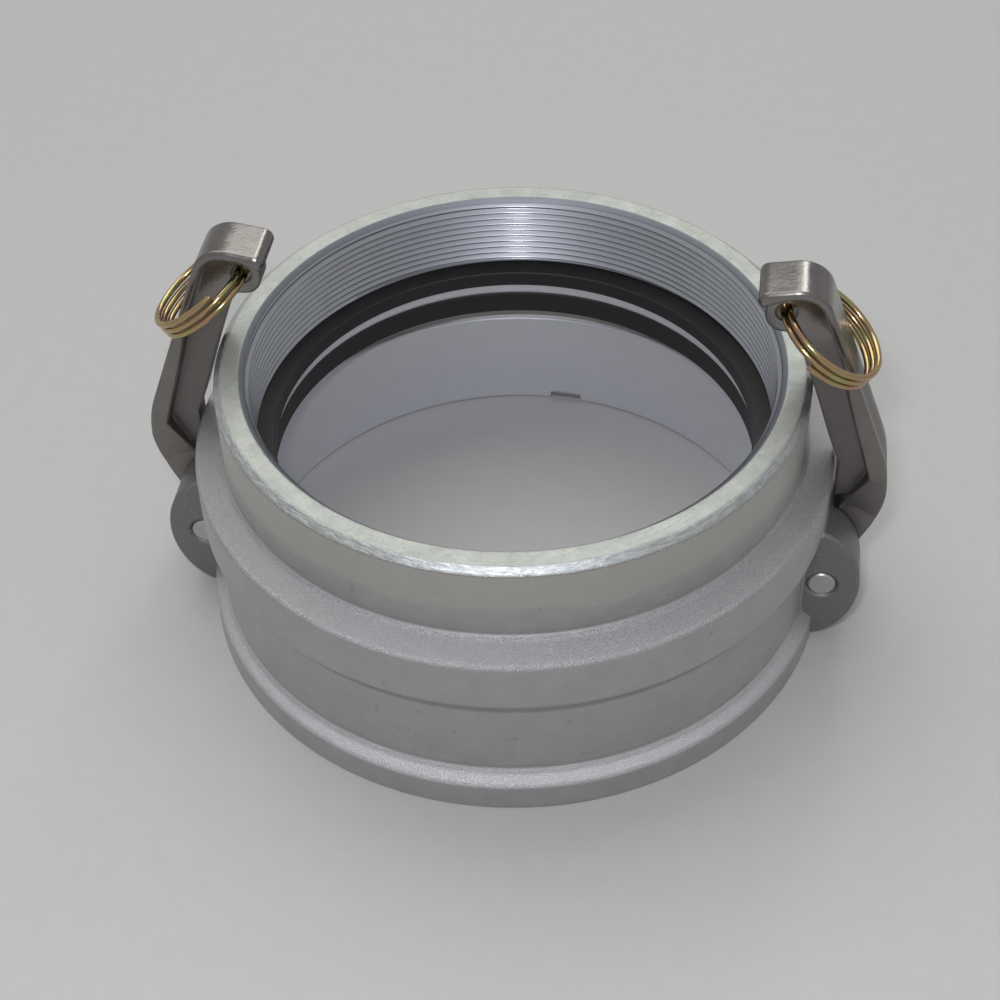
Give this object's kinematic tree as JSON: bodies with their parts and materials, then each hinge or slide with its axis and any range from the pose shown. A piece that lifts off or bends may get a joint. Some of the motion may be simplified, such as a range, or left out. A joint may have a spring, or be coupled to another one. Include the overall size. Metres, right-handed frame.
{
  "type": "cam and groove coupling",
  "caption": "Cam and groove pipe coupler with an internal thread, rubber gaskets and swinging cam arms with pull rings.",
  "frame": {"origin": "on the coupling's axis, in the plane of the mouth's end face, which the coupling stands on", "axes": "+Z along the axis from the mouth to the threaded end, +X through the right cam arm; the arms' pivots run along Y"},
  "size_m": [0.2338, 0.2008, 0.1307],
  "materials": {
    "cast_aluminium": "bare sand casting, machined inside and at the thread end",
    "cast_steel": "cast and rumbled",
    "pin_steel": "plain",
    "plated_wire": "yellow zinc plate on steel wire",
    "black_rubber": "matte"
  },
  "bodies": {
    "body": {"coupling_body": "cast_aluminium", "pivot_pin_right": "pin_steel", "pivot_pin_left": "pin_steel", "coupling_gasket": "black_rubber", "thread_gasket": "black_rubber"},
    "arm_right": {"cam_arm_right": "cast_steel"},
    "arm_left": {"cam_arm_left": "cast_steel"},
    "ring_right": {"pull_ring_right": "plated_wire"},
    "ring_left": {"pull_ring_left": "plated_wire"}
  },
  "joints": [
    {"name": "arm_right_hinge", "type": "hinge", "parent": "body", "child": "arm_right", "pos_m": [0.1002, 0, 0.02505], "axis": [0, 1, 0], "range_deg": [0, 100]},
    {"name": "arm_left_hinge", "type": "hinge", "parent": "body", "child": "arm_left", "pos_m": [-0.1002, 0, 0.02505], "axis": [0, -1, 0], "range_deg": [0, 100]},
    {"name": "ring_right_swing", "type": "hinge", "parent": "arm_right", "child": "ring_right", "pos_m": [0.0808, 0, 0.11975], "axis": [0, -1, 0], "range_deg": [0, 180]},
    {"name": "ring_left_swing", "type": "hinge", "parent": "arm_left", "child": "ring_left", "pos_m": [-0.0808, 0, 0.11975], "axis": [0, 1, 0], "range_deg": [0, 180]}
  ]
}
